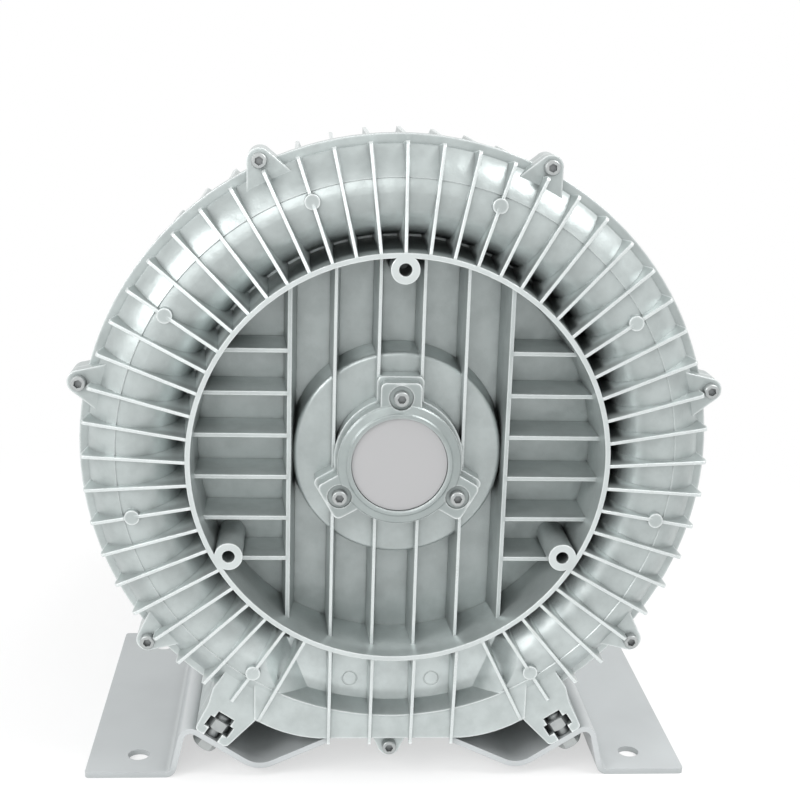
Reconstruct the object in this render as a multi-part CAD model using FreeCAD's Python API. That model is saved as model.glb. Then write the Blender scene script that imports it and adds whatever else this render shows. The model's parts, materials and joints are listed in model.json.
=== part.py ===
import FreeCAD, Part
import math
import os

# A single-stage side channel blower on a bent foot sheet.
# All lengths are millimetres. Everything is drawn about the shaft axis, which runs
# along Y, with Y = 0 at the front edge of the cover's ring, X to the right and Z up.
# Each piece is lifted to its place above the floor when it is saved.

V = FreeCAD.Vector
CENTRE = V(0, 0, 0)
SHAFT = V(0, 1, 0)

# Stance
shaft_height = 236.0
foot_width = 426.0
foot_front = 15.0
foot_depth = 233.0
foot_thickness = 4.0
foot_corner_r = 3.0
foot_hole_r = 7.5
foot_hole_x = 178.3
foot_hole_inset = 25.0

# Front cover: ring, floor and ribs
ring_r = 140.0
ring_wall = 3.3
ring_draft = 1.5
ring_outer_draft = 4.8
floor_y = 49.0
floor_wall = 5.0
hub_disc_r = 70.5
hub_disc_draft = 2.9
hub_disc_y = 26.0
hub_disc_edge = 3.0
rib_pitch = 28.8
cross_ribs = 6
rib_tip_y = 17.0
cross_rib_tip = 2.7
cross_rib_draft = math.radians(3.4)
rib_tip = 2.1
rib_draft = math.radians(4.0)
band_x = 72.8
band_tip = 2.8
band_draft = math.radians(5.1)
boss_circle_r = 129.2
boss_r = 9.35
boss_thread_r = 4.25
boss_thread_depth = 30.0

# Ring channel, shared by both casing halves
channel_r = 177.0
channel_radius = 24.5
channel_depth = 14.5
shell_wall = 4.5
valley_y = 43.0
valley_step = 1.5
band_edge_r = 186.4
band_lift = 0.6
rim_r = 206.0
split_y = 33.0
stopper_angle = 31.0
port_angle = 20.0

# Cooling fins of the cover
fin_places = 56
fins_left_out = 3
fin_tip = 2.1
fin_end_r = 209.0
fin_end_y = 11.3
fin_nose_r = 3.0
long_fin_extra = 5.0
fin_draft = math.radians(3.0)
ejector_r = 5.0
ejector_circle_r = 180.0
ejector_places = (5, 12, 19, 25, 31, 37, 44, 51)

# Bottom of the casings
bottom_z = -205.0
bottom_flat_x = 50.0
bottom_corner = (95.0, -190.0)
bottom_face_y = 12.6
plate_y = 25.0
plate_top_x = 71.0
plate_top_z = -139.0
plate_low_x = 58.6
plate_low_z = -170.5
ramp_run = 17.0
pocket_wall = 5.4
pocket_ring_gap = 0.5
mark_x = 28.8
mark_z = -165.0
mark_r = 5.1
mark_width = 0.8
mark_depth = 0.4
bottom_rib_z = -209.0

# Rim lugs and screws
lug_count = 7
lug_circle_r = 215.0
lug_tip_r = 8.0
lug_base = 32.0
lug_face_y = 22.0
lug_rear = 15.0
screw_r = 3.0
screw_head_r = 5.0
screw_head = 6.0
screw_socket = 5.0
screw_clear = 0.3

# Bearing cap
cap_r = 41.0
cap_y = 0.5
cap_back_y = 12.0
lobe_reach = 55.0
lobe_width = 27.0
lobe_round = 4.0
lobe_face_y = 1.3
hub_lobe_step = 2.0
cap_screw_circle_r = 45.1
cap_spot_r = 8.0
cap_spot_y = 2.5
lip_r = 35.5
lip_y = -1.5
disc_r = 31.5
disc_thickness = 1.0
disc_gap = 0.3
cap_screw_length = 22.0

# Legs with T slots, and their bolts
leg_slope = math.radians(33.5)
leg_x = 125.4
leg_z = -205.7
leg_width = 26.0
leg_waist = (15.6, 21.0)
leg_flare = (19.4, 19.4)
leg_flare_height = 32.5
leg_height = 58.0
rail_height = 40.0
slot_mouth = 11.0
slot_lip = 6.5
slot_chamber = 18.8
slot_chamber_height = 8.6
slot_top = 12.8
slot_top_height = 5.4
bolt_r = 5.0
bolt_flats = 16.0
bolt_head = 6.4
nut_height = 8.0
bolt_spare = 3.0
bolt_hole_clear = 0.5
front_bolt_y = foot_front + bolt_flats / 2 + 0.4
rear_bolt_y = 222.0
rail_end_y = 240.0

# Foot sheet bends, as distances from the middle
bump_x = 143.5
bump_foot_x = 152.5
valley_x = 92.5
hump_slope = math.radians(24.5)
hump_x = 41.0
notch_x = 43.4
notch_end_y = 152.0
bend_r = 6.0
valley_bend_r = 20.0

# Rear casing
rear_rim_r = 212.4
rear_rim = 8.0
rear_fin_r = 212.0
rear_fin_thickness = 2.4
rear_fin_front_gap = 4.0
rear_floor_wall = 7.5
rear_hub_r = 64.0
flange_r = 104.0
flange_thickness = 10.0
flange_y = 116.0

# Silencers under the motor
silencer_x = 57.0
silencer_z = -153.0
silencer_bore = 41.0
silencer_wall = 6.0
silencer_end_y = 262.0
sleeve_wall = 11.0
sleeve_length = 120.0
sleeve_gap = 0.4
port_flange = 10.0
port_gasket = 1.5
port_r = 28.3
port_boss_r = 36.0
port_length = 24.0
port_screw_wall = 4.0
port_screw_length = 25.0

# Impeller
impeller_r = 200.0
impeller_gap = 0.5
impeller_width = 40.5
casing_gap = 1.3
blade_count = 52
blade = 2.6
blade_root_r = 153.0
impeller_web = 8.0
impeller_hub_r = 33.0
vent_hole_r = 9.0
vent_holes = 6

# Shaft, from front to rear
journal_front_r = 15.0
shaft_front_y = 9.5
seat_r = 19.0
seat_start_y = 57.0
hub_front_y = 56.0
hub_back_y = 103.0
drive_journal_r = 20.0
rotor_seat_r = 22.0
fan_journal_r = 17.5
fan_seat_r = 14.0
key_width = 10.0
key_height = 8.0
key_length = 36.0
lock_nut_r = 22.5
lock_nut = 7.0
lock_washer = 1.2
shaft_fit = 0.02

# Ball bearings: bore radius, outer radius, width, ball radius, number of balls
front_bearing = (15.0, 31.0, 16.0, 4.7, 9)
drive_bearing = (20.0, 45.0, 23.0, 7.4, 8)
fan_bearing = (17.5, 36.0, 17.0, 5.5, 9)
front_bearing_y = 13.0
drive_bearing_y = 112.0
ball_clear = 0.06
cage_wall = 1.6

# Motor
frame_r = 87.5
stator_r = 80.0
frame_fin_r = 103.0
frame_fin = 2.6
frame_fins = 36
frame_length = 206.0
frame_ear = 12.0
screw_space = 10.0
stator_bore = 49.0
stator_y = 158.0
stator_length = 130.0
winding_reach = 24.0
rotor_gap = 0.4
shield_thickness = 12.0
motor_screw_r = 4.0
motor_screw_circle_r = 95.0
cowl_r = 104.0
cowl_wall = 2.0
cowl_length = 92.0
fan_r = 84.0
fan_blades = 7
grille_hole_r = 5.0

# Terminal box on top of the motor
box_half_x = 52.0
box_half_y = 58.0
box_y = 222.0
box_foot_z = 98.0
box_height = 38.0
box_wall = 3.5
box_corner_r = 8.0
box_gasket = 1.6
lid_height = 15.0
gland_r = 12.0
gland_bore_r = 8.0
gland_reach = 24.0


def polar(radius, degrees):
    """Point (x, z) at an angle counted from +X towards +Z."""
    angle = math.radians(degrees)
    return (radius * math.cos(angle), radius * math.sin(angle))


def circle_depth(radius, centre_r, centre_y, size, front):
    """Y of a circle of the ring channel's section at a radius from the shaft."""
    reach = math.sqrt(size ** 2 - (radius - centre_r) ** 2)
    return centre_y - reach if front else centre_y + reach


def outline(steps, place):
    """Closed wire through steps: a point, or an arc given as (point on it, end point)."""
    start = place(*steps[0])
    here = start
    edges = []
    for step in steps[1:] + [steps[0]]:
        if isinstance(step[0], tuple):
            there = place(*step[1])
            edges.append(Part.Arc(here, place(*step[0]), there).toShape())
        else:
            there = place(*step)
            if there.distanceToPoint(here) > 1e-6:
                edges.append(Part.makeLine(here, there))
        here = there
    return Part.Wire(edges)


def turned(steps, first=0.0, sweep=360.0):
    """Solid of revolution about the shaft from an outline in (radius, y)."""
    face = Part.Face(outline(steps, lambda radius, y: V(radius, y, 0)))
    face.rotate(CENTRE, SHAFT, -first)
    return face.revolve(CENTRE, -SHAFT, sweep)


def plate(steps, near, far):
    """Solid between two depths from an outline in (x, z)."""
    face = Part.Face(outline(steps, lambda x, z: V(x, near, z)))
    return face.extrude(V(0, far - near, 0))


def rod(radius, near, far, at=(0, 0)):
    return Part.makeCylinder(radius, far - near, V(at[0], near, at[1]), SHAFT)


def taper(near_r, far_r, near, far, at=(0, 0)):
    return Part.makeCone(near_r, far_r, far - near, V(at[0], near, at[1]), SHAFT)


def ring(outer, inner, near, far, at=(0, 0)):
    return rod(outer, near, far, at).cut(rod(inner, near - 1, far + 1, at))


def box(x0, x1, y0, y1, z0, z1):
    return Part.makeBox(x1 - x0, y1 - y0, z1 - z0, V(x0, y0, z0))


def hull(near, far):
    """Solid with flat sides between two ends that have four corners each."""
    faces = [near, far]
    for i in range(4):
        faces.append([near[i], near[i - 1], far[i - 1], far[i]])
    shell = Part.Shell([Part.Face(Part.makePolygon(f + f[:1])) for f in faces])
    solid = Part.Solid(shell)
    if solid.Volume < 0:
        solid.reverse()
    return solid


def rib(start, end, tip_start, tip_end, base, tip, draft):
    """Tapered rib from start to end (x, z); its tip may slope from one depth to another."""
    run = V(end[0] - start[0], 0, end[1] - start[1])
    side = run.cross(SHAFT).normalize()

    def section(at, tip_y):
        half_tip = tip / 2
        half_base = half_tip + (base - tip_y) * math.tan(draft)
        low = V(at[0], tip_y, at[1])
        high = V(at[0], base, at[1])
        return [low + side * half_tip, low - side * half_tip,
                high - side * half_base, high + side * half_base]
    return hull(section(start, tip_start), section(end, tip_end))


def turned_to(shape, degrees):
    """A copy of a feature drawn at the top, turned about the shaft to an angle."""
    copy = shape.copy()
    copy.rotate(CENTRE, SHAFT, 90 - degrees)
    return copy


def around(shape, angles):
    return [turned_to(shape, angle) for angle in angles]


def spread(count, first=90.0):
    return [first + 360.0 * i / count for i in range(count)]


def joined(shapes):
    return shapes[0].multiFuse(shapes[1:]).removeSplitter()


def group(shapes):
    return Part.makeCompound(shapes)


def placed(shape, base, direction):
    """A piece drawn along +Y at the centre, set at a base point and pointed."""
    place = FreeCAD.Placement(base, FreeCAD.Rotation(SHAFT, direction))
    return shape.transformed(place.toMatrix())


def rounded(corners):
    """Outline steps for corners given as (x, z, radius)."""
    steps = []
    for i, (x, z, radius) in enumerate(corners):
        if radius == 0:
            steps.append((x, z))
            continue
        here = V(x, 0, z)
        back = V(corners[i - 1][0], 0, corners[i - 1][1]) - here
        after = corners[(i + 1) % len(corners)]
        on = V(after[0], 0, after[1]) - here
        half = back.getAngle(on) / 2
        back.normalize()
        on.normalize()
        reach = radius / math.tan(half)
        first = here + back * reach
        last = here + on * reach
        middle = here + (back + on).normalize() * (radius / math.sin(half) - radius)
        steps.append((first.x, first.z))
        steps.append(((middle.x, middle.z), (last.x, last.z)))
    return steps


def save(name, shape):
    """Lift a piece to its place over the floor and write it."""
    copy = shape.copy()
    copy.translate(V(0, -foot_middle_y, shaft_height))
    copy.exportStep("parts/" + name + ".step")


land_y = floor_y + floor_wall
channel_y = land_y - channel_depth
outer_radius = channel_radius + shell_wall
impeller_front = land_y + impeller_gap
impeller_back = impeller_front + impeller_width
rear_land_y = impeller_back + impeller_gap
rear_channel_y = rear_land_y + channel_depth
crest_y = rear_channel_y + outer_radius
chamber_r = impeller_r + casing_gap
foot_middle_y = foot_front + foot_depth / 2
foot_rear = foot_front + foot_depth
foot_z = -shaft_height
ring_in_r = ring_r - ring_wall
ring_mid_r = ring_r - ring_wall / 2
fin_pitch = 360.0 / fin_places
fin_slope = fin_end_y / (fin_end_r - ring_r)
lug_angles = spread(lug_count, 270.0)
lobe_angles = spread(3)
boss_angles = spread(3)


def fin_tip_y(radius):
    """Depth of the fins' front edge, which slopes back from the ring."""
    return (radius - ring_r) * fin_slope


def fin_angle(place):
    return 270.0 + place * fin_pitch


def cover_body():
    """Hub dish, ring wall and outer skin of the ring channel, still solid inside."""
    slope_start = channel_r - outer_radius
    band_y = circle_depth(band_edge_r, channel_r, channel_y, outer_radius, True)
    shoulder_r = (band_edge_r + rim_r) / 2
    shoulder_y = circle_depth(shoulder_r, channel_r, channel_y, outer_radius, True) - band_lift
    flat_r = hub_disc_r - hub_disc_edge
    section = [
        (0, hub_disc_y), (flat_r, hub_disc_y),
        ((flat_r + hub_disc_edge * 0.7071, hub_disc_y + hub_disc_edge * 0.2929),
         (hub_disc_r, hub_disc_y + hub_disc_edge)),
        (hub_disc_r + hub_disc_draft, floor_y), (ring_in_r - ring_draft, floor_y),
        (ring_in_r, 0), (ring_r, 0), (ring_r + ring_outer_draft, valley_y),
        (slope_start - valley_step, valley_y), (slope_start, channel_y),
        ((channel_r - outer_radius * 0.7071, channel_y - outer_radius * 0.7071),
         (channel_r, channel_y - outer_radius)),
        ((channel_r + 5, circle_depth(channel_r + 5, channel_r, channel_y, outer_radius, True)),
         (band_edge_r - 0.5, band_y)),
        (band_edge_r, band_y - band_lift),
        ((shoulder_r, shoulder_y), (rim_r, split_y - 4)),
        (rim_r, split_y), (impeller_r + casing_gap / 2, split_y),
        (impeller_r + casing_gap / 2, land_y), (0, land_y)]
    return turned(section)


def channel_space(centre_y, land, front, start):
    """The air channel: a half round groove that stops short of the ports."""
    bottom = centre_y - channel_radius if front else centre_y + channel_radius
    past = land + 1 if front else land - 1
    section = [(channel_r - channel_radius, past), (channel_r - channel_radius, centre_y),
               ((channel_r, bottom), (channel_r + channel_radius, centre_y)),
               (channel_r + channel_radius, past)]
    return turned(section, 270 + start, 360 - 2 * start)


def plate_half(z):
    """Half the width of the recessed plate, which narrows towards the bottom."""
    narrowing = (plate_top_x - plate_low_x) / (plate_top_z - plate_low_z)
    return plate_top_x - narrowing * (plate_top_z - z)


def stopper_fill():
    """Solid land between the two ends of the channel, up to the recessed plate."""
    block = box(-plate_top_x, plate_top_x, plate_y, land_y, -band_edge_r, 0)
    return block.common(ring(band_edge_r, ring_mid_r, plate_y, land_y))


def stopper_pocket():
    """Recess over the stopper: a flat plate with sloping ends, inside the rim band."""
    depth = plate_y - bottom_face_y
    front = plate_y - 2 * depth

    def section(z):
        deep = plate_half(z)
        wide = deep + 2 * ramp_run
        return [V(-deep, plate_y, z), V(deep, plate_y, z), V(wide, front, z), V(-wide, front, z)]
    wedge = hull(section(-ring_mid_r / 2), section(-rim_r))
    wall_r = band_edge_r - pocket_wall
    round_wall = taper(band_edge_r + pocket_wall, wall_r, front, plate_y)
    return wedge.common(round_wall).cut(ring_skin(pocket_ring_gap, front - 1, plate_y + 1))


def ring_skin(gap, near, far):
    """Solid cone a gap outside the ring's outer wall."""
    near_r = ring_r + ring_outer_draft * near / valley_y
    far_r = ring_r + ring_outer_draft * far / valley_y
    return taper(near_r + gap, far_r + gap, near, far)


def plate_marks():
    """Two round marks of the mould's pins in the recessed plate."""
    half = mark_width / 2
    return [ring(mark_r + half, mark_r - half, plate_y - 1, plate_y + mark_depth, (x, mark_z))
            for x in (-mark_x, mark_x)]


def bottom_outline():
    """Flat bottom with rounded shoulders that run up to the legs."""
    corner_x, corner_z = bottom_corner
    shoulder = (corner_x * 0.8, corner_z - 9.5)
    return [(-corner_x, -150), (-corner_x, corner_z),
            ((-shoulder[0], shoulder[1]), (-bottom_flat_x, bottom_z)), (bottom_flat_x, bottom_z),
            ((shoulder[0], shoulder[1]), (corner_x, corner_z)), (corner_x, -150)]


def bottom_block(near, far, inner_r):
    block = plate(bottom_outline(), near, far)
    return block.cut(rod(inner_r, near - 1, far + 1))


def leg_point(side, across, up):
    """Point (x, z) in a leg's own directions: down its slope, and up its bolt."""
    cos, sin = math.cos(leg_slope), math.sin(leg_slope)
    return (side * (leg_x - across * cos - up * sin), leg_z - across * sin + up * cos)


def leg_up(side):
    return V(-side * math.sin(leg_slope), 0, math.cos(leg_slope))


def leg_block(side, near, far, height):
    """One leg or rail: wide where it leaves the casing, square to the sheet below."""
    half = leg_width / 2
    outer, inner = leg_flare
    waist, waist_height = leg_waist
    shape = [(-half, 0, 3), (half, 0, 3), (inner, leg_flare_height, 0), (inner, height, 0),
             (-outer, height, 0), (-outer, leg_flare_height, 0), (-waist, waist_height, 20)]
    corners = [leg_point(side, across, up) + (radius,) for across, up, radius in shape]
    return plate(rounded(corners), near, far)


def t_slot(side, near, far):
    """Slot open to the sheet, with a chamber for the nut and a space over it."""
    half_mouth, half_chamber, half_top = slot_mouth / 2, slot_chamber / 2, slot_top / 2
    level = slot_lip + slot_chamber_height
    top = level + slot_top_height
    shape = [(-half_mouth, -1), (half_mouth, -1), (half_mouth, slot_lip),
             (half_chamber, slot_lip), (half_chamber, level), (half_top, level), (half_top, top),
             (-half_top, top), (-half_top, level), (-half_chamber, level),
             (-half_chamber, slot_lip), (-half_mouth, slot_lip)]
    return plate([leg_point(side, across, up) for across, up in shape], near, far)


def lug(near, far):
    """Ear for one rim screw, drawn at the top."""
    flank = lug_tip_r * 0.95
    tip_z = lug_circle_r + lug_tip_r
    side_z = lug_circle_r + lug_tip_r * 0.3
    base_z = rim_r - 6
    return plate([(-lug_base / 2, base_z), (-flank, side_z), ((0, tip_z), (flank, side_z)),
                  (lug_base / 2, base_z)], near, far)


def cover_fin(end_r):
    """One radial fin at the top: a tapered slab cut to follow the channel's skin."""
    skin = channel_radius + shell_wall * 0.5
    tip_end = fin_tip_y(end_r)
    slab = rib((0, ring_mid_r), (0, end_r + 2), fin_tip_y(ring_mid_r), fin_tip_y(end_r + 2),
               floor_y, fin_tip, fin_draft)
    edge_r = channel_r + math.sqrt(skin ** 2 - (channel_y - split_y) ** 2)
    profile = [(ring_mid_r, 0), (ring_r, 0),
               (end_r - fin_nose_r, fin_tip_y(end_r - fin_nose_r) - 0.5),
               ((end_r - fin_nose_r * 0.3, tip_end + fin_nose_r * 0.2),
                (end_r, tip_end + fin_nose_r)),
               (max(end_r - 3, rim_r), split_y), (edge_r, split_y),
               ((channel_r, channel_y - skin), (channel_r - skin, channel_y)),
               (channel_r - skin, valley_y + 2), (ring_mid_r, valley_y + 2)]
    face = Part.Face(outline(profile, lambda radius, y: V(-10, y, radius)))
    return slab.common(face.extrude(V(20, 0, 0)))


def cover_fins():
    usual = cover_fin(fin_end_r)
    long_fin = cover_fin(fin_end_r + long_fin_extra)
    first = fins_left_out + 1
    last = fin_places - first
    fins = around(usual, [fin_angle(k) for k in range(first + 1, last)])
    return fins + around(long_fin, [fin_angle(first), fin_angle(last)])


def ejector_bosses():
    """Round pads on some of the fins, where the casting was pushed out of its mould."""
    front = fin_tip_y(ejector_circle_r) - 0.2
    pad = taper(ejector_r, ejector_r + 0.5, front, split_y - 14, (0, ejector_circle_r))
    return around(pad, [fin_angle(k) for k in ejector_places])


def bottom_ribs():
    """Four upright ribs that carry on below the ring and end under the flat bottom."""
    ribs = []
    for x in (-1.5 * rib_pitch, -0.5 * rib_pitch, 0.5 * rib_pitch, 1.5 * rib_pitch):
        tip_end = (-bottom_rib_z - ring_r) * fin_slope
        upright = rib((x, -ring_r + 12), (x, bottom_rib_z), 0, tip_end, plate_y + 2,
                      fin_tip, fin_draft)
        nose = box(x - 5, x + 5, foot_front - 0.5, floor_y, bottom_rib_z - 1, bottom_z)
        ribs.append(upright.cut(nose).cut(rod(ring_mid_r, -5, floor_y)))
    return ribs


def inner_ribs():
    """Upright ribs and band walls across the ring, and cross ribs beside the band."""
    ribs = []
    for x in (-1.5 * rib_pitch, -0.5 * rib_pitch, 0.5 * rib_pitch, 1.5 * rib_pitch):
        ribs.append(rib((x, -ring_r), (x, ring_r), rib_tip_y, rib_tip_y, floor_y + 1,
                        rib_tip, rib_draft))
    for side in (-1, 1):
        x = side * band_x
        ribs.append(rib((x, -ring_r), (x, ring_r), rib_tip_y, rib_tip_y, floor_y + 1,
                        band_tip, band_draft))
        for row in range(cross_ribs):
            z = (row - (cross_ribs - 1) / 2) * rib_pitch
            ribs.append(rib((x, z), (side * ring_r, z), rib_tip_y, rib_tip_y, floor_y + 1,
                            cross_rib_tip, cross_rib_draft))
    inside = rod(ring_mid_r, -1, floor_y + 1)
    return [piece.common(inside) for piece in ribs]


def lobed(near, far, grow=0.0):
    """Round body with three lobes, shared by the bearing cap and the hub under it."""
    body = rod(cap_r + grow, near, far)
    half = lobe_width / 2 + grow
    reach = lobe_reach + grow
    shape = [(-half, 0, 0), (half, 0, 0), (half, reach, lobe_round), (-half, reach, lobe_round)]
    arm = plate(rounded(shape), near, far)
    return joined([body] + around(arm, lobe_angles))


def front_cover():
    pocket = stopper_pocket()
    body = cover_body().fuse(stopper_fill()).cut(pocket)
    edge = bottom_block(bottom_face_y, split_y, band_edge_r)
    legs = [leg_block(side, foot_front, split_y, leg_height) for side in (-1, 1)]
    below = box(-rim_r, rim_r, -1, split_y + 1, -2 * rim_r, bottom_z)
    below = below.common(box(-leg_x + leg_width, leg_x - leg_width, -1, 99, -999, 0))
    body = body.cut(below)
    hub = lobed(cap_back_y, hub_disc_y + 1, hub_lobe_step)
    bosses = around(rod(boss_r, 0, floor_y + 1, (0, boss_circle_r)), boss_angles)
    lugs = around(lug(lug_face_y, split_y), lug_angles)
    pieces = [body, edge, hub] + legs + cover_fins() + ejector_bosses() + bottom_ribs()
    pieces += inner_ribs() + bosses + lugs
    cover = pieces[0].multiFuse(pieces[1:])
    cuts = [channel_space(channel_y, land_y, True, stopper_angle)]
    cuts += [t_slot(side, foot_front - 1, split_y + 1) for side in (-1, 1)]
    cuts.append(rod(front_bearing[1], cap_back_y - 1, front_bearing_y + front_bearing[2]))
    cuts.append(rod(seal_r(), cap_back_y, land_y + 1))
    screw_hole = screw_r + screw_clear
    cuts += around(rod(screw_hole, 0, split_y + 1, (0, lug_circle_r)), lug_angles)
    cuts += around(rod(screw_r, cap_back_y - 1, cap_screw_end(), (0, cap_screw_circle_r)),
                   lobe_angles)
    cuts += around(rod(boss_thread_r, -1, boss_thread_depth, (0, boss_circle_r)), boss_angles)
    cuts += plate_marks()
    return cover.cut(cuts).removeSplitter()


def seal_r():
    return lock_nut_r + 3.0


def cap_screw_end():
    return cap_spot_y + cap_screw_length


def bearing_cap():
    """Lobed cap with a raised lip, a shallow seat for the disc and faced screw seats."""
    plate_part = lobed(lobe_face_y, cap_back_y)
    face = turned([(0, disc_floor()), (disc_r + disc_gap, disc_floor()),
                   (disc_r + disc_gap, lip_y + 0.4), (lip_r - 2.5, lip_y), (lip_r - 1, lip_y),
                   (lip_r, lip_y + 1), (cap_r - 1, cap_y), (cap_r, cap_y + 1),
                   (cap_r, cap_back_y), (0, cap_back_y)])
    spigot = ring(front_bearing[1] - 0.05, front_bearing[1] - 4, cap_back_y, front_bearing_y)
    cap = joined([plate_part, face, spigot])
    inside = rod(disc_r + disc_gap, lip_y - 1, disc_floor())
    seats = around(rod(cap_spot_r, cap_y - 2, cap_spot_y, (0, cap_screw_circle_r)), lobe_angles)
    holes = around(rod(screw_r + screw_clear, 0, cap_back_y + 1, (0, cap_screw_circle_r)),
                   lobe_angles)
    bore = rod(front_bearing[0] + 4, cap_back_y - 5, cap_back_y + 1)
    return cap.cut([inside, bore] + seats + holes).removeSplitter()


def disc_floor():
    return cap_y + disc_thickness


def cap_disc():
    return rod(disc_r, cap_y, disc_floor())


def hexagon(flats, near, far):
    corners = [polar(flats / math.sqrt(3), 60 * i) for i in range(6)]
    return plate(corners, near, far)


def socket_screw(length, radius=screw_r, head_r=screw_head_r, head=screw_head,
                 socket=screw_socket):
    """Cylinder head screw along +Y, with the underside of its head at Y = 0."""
    top = turned([(0, -head), (head_r - 0.6, -head), (head_r, -head + 0.6), (head_r, 0), (0, 0)])
    shank = rod(radius, -1, length - 0.8).fuse(taper(radius, radius - 0.7, length - 0.8, length))
    return top.fuse(shank).cut(hexagon(socket, -head - 1, -head + 0.5 * head)).removeSplitter()


def screws_at(screw, head_y, radius, angles):
    drawn = screw.copy()
    drawn.translate(V(0, head_y, radius))
    return group(around(drawn, angles))


def rear_torus():
    """Back skin of the ring channel and the chamber wall, still solid inside."""
    inner_r = channel_r - outer_radius
    side = outer_radius * 0.7071
    section = [
        (0, rear_land_y - 1), (chamber_r, rear_land_y - 1), (chamber_r, split_y),
        (rear_rim_r, split_y), (rear_rim_r, split_y + rear_rim), (rim_r, split_y + rear_rim + 3),
        (rim_r, rear_channel_y),
        ((channel_r + side, rear_channel_y + side), (channel_r, crest_y)),
        ((channel_r - side, rear_channel_y + side), (inner_r, rear_channel_y)),
        (inner_r - 2, rear_land_y + rear_floor_wall), (0, rear_land_y + rear_floor_wall)]
    return turned(section)


def rear_fin():
    """One plain fin over the back of the casing, drawn at the top."""
    front = split_y + rear_rim + rear_fin_front_gap
    inner_r = channel_r - outer_radius
    skin = channel_radius + shell_wall * 0.5
    side = skin * 0.7071
    steps = [(rim_r - 1, front), (rear_fin_r - 1, front), (rear_fin_r, front + 3),
             (rear_fin_r, rear_channel_y), (channel_r + 24, crest_y + 1),
             (channel_r + 4, crest_y + 7), (channel_r - 16, crest_y + 5), (inner_r - 8, crest_y - 18),
             (inner_r - 8, rear_land_y + rear_floor_wall - 1),
             (inner_r + 1, rear_land_y + rear_floor_wall - 1), (channel_r - skin, rear_channel_y),
             ((channel_r - side, rear_channel_y + side), (channel_r, rear_channel_y + skin)),
             ((channel_r + side, rear_channel_y + side), (channel_r + skin, rear_channel_y))]
    face = Part.Face(outline(steps, lambda radius, y: V(-rear_fin_thickness / 2, y, radius)))
    return face.extrude(V(rear_fin_thickness, 0, 0))


def silencer_block():
    """Two long chambers side by side under the motor, one for each port."""
    half = silencer_x + silencer_bore + silencer_wall
    low = silencer_z - silencer_bore - silencer_wall
    high = silencer_z + silencer_bore + silencer_wall
    shape = [(-half, low, 14), (half, low, 14), (half, high, 22), (-half, high, 22)]
    near = rear_land_y + rear_floor_wall - 1
    return plate(rounded(shape), near, silencer_end_y)


def motor_ears(near, far):
    """Four screw ears on a motor flange."""
    ear = rod(cowl_r - 0.5 - motor_screw_circle_r, near, far, (0, motor_screw_circle_r))
    return around(ear, motor_angles())


def motor_angles():
    return spread(4, 45.0)


def rear_casing():
    torus = rear_torus()
    hub = taper(rear_hub_r + 4, rear_hub_r, rear_land_y, flange_y)
    flange = rod(flange_r, flange_y - flange_thickness, flange_y)
    neck = taper(flange_r - 30, flange_r - 22, rear_land_y, flange_y - 1)
    low = bottom_block(split_y, crest_y - 8, rim_r - 8)
    rails = [leg_block(side, split_y, rail_end_y, rail_height) for side in (-1, 1)]
    first = fins_left_out + 5
    fins = around(rear_fin(), [fin_angle(k) for k in range(first, fin_places - first + 1)])
    lugs = around(lug(split_y, split_y + lug_rear), lug_angles)
    below = box(-leg_x + leg_width, leg_x - leg_width, 0, 999, -999, bottom_z)
    body = torus.multiFuse([hub, flange, neck, low, silencer_block()] + rails)
    body = body.cut(below).multiFuse(fins + lugs)
    cuts = [rod(chamber_r, split_y - 1, rear_land_y)]
    cuts.append(channel_space(rear_channel_y, rear_land_y, False, port_angle))
    cuts += [t_slot(side, split_y - 1, rail_end_y + 1) for side in (-1, 1)]
    for side in (-1, 1):
        at = (side * silencer_x, silencer_z)
        cuts.append(rod(silencer_bore, duct_y(), silencer_end_y + 1, at))
        cuts += [rod(screw_r, port_thread_y(), silencer_end_y + 1, hole)
                 for hole in port_screw_places(side)]
    cuts.append(rod(drive_bearing[1], drive_bearing_y, flange_y + 99))
    cuts.append(rod(rear_seal_r(), rear_land_y - 1, flange_y))
    cuts.append(rod(impeller_hub_r + casing_gap, rear_land_y - 1, hub_back_y + casing_gap))
    cuts.append(rod(stator_r, flange_y - 4, flange_y + 1).cut(rod(drive_bearing[1] + 9, 0, 999)))
    cuts += around(rod(screw_r, split_y - 1, lug_thread_end(), (0, lug_circle_r)), lug_angles)
    cuts += around(rod(motor_screw_r, flange_y - 14, flange_y + 1, (0, motor_screw_circle_r)),
                   motor_angles())
    return body.cut(cuts).removeSplitter()


def duct_y():
    """Front end of the silencer chambers, where they open into the channel's ends."""
    return rear_channel_y + 6


def port_thread_y():
    return silencer_end_y - port_screw_length + port_flange + port_gasket - 3


def lug_thread_end():
    return split_y + lug_rear - 2


def rear_seal_r():
    return drive_journal_r + 11.0


def port_screw_step():
    """Half the side of the square on which a port's screws stand, clear of its bore."""
    return (silencer_bore + screw_r + port_screw_wall) / math.sqrt(2)


def port_screw_places(side):
    """Four screws on a square round each port."""
    step = port_screw_step()
    return [(side * silencer_x + dx, silencer_z + dz)
            for dx in (-step, step) for dz in (-step, step)]


def port_outline(side):
    half = port_screw_step() + 9
    x, z = side * silencer_x, silencer_z
    return rounded([(x - half, z - half, 8), (x + half, z - half, 8),
                    (x + half, z + half, 8), (x - half, z + half, 8)])


def port_gasket_piece(side):
    sheet = plate(port_outline(side), silencer_end_y, silencer_end_y + port_gasket)
    holes = [rod(screw_r + screw_clear, 0, 999, hole) for hole in port_screw_places(side)]
    holes.append(rod(port_boss_r - 2, 0, 999, (side * silencer_x, silencer_z)))
    return sheet.cut(holes)


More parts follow.
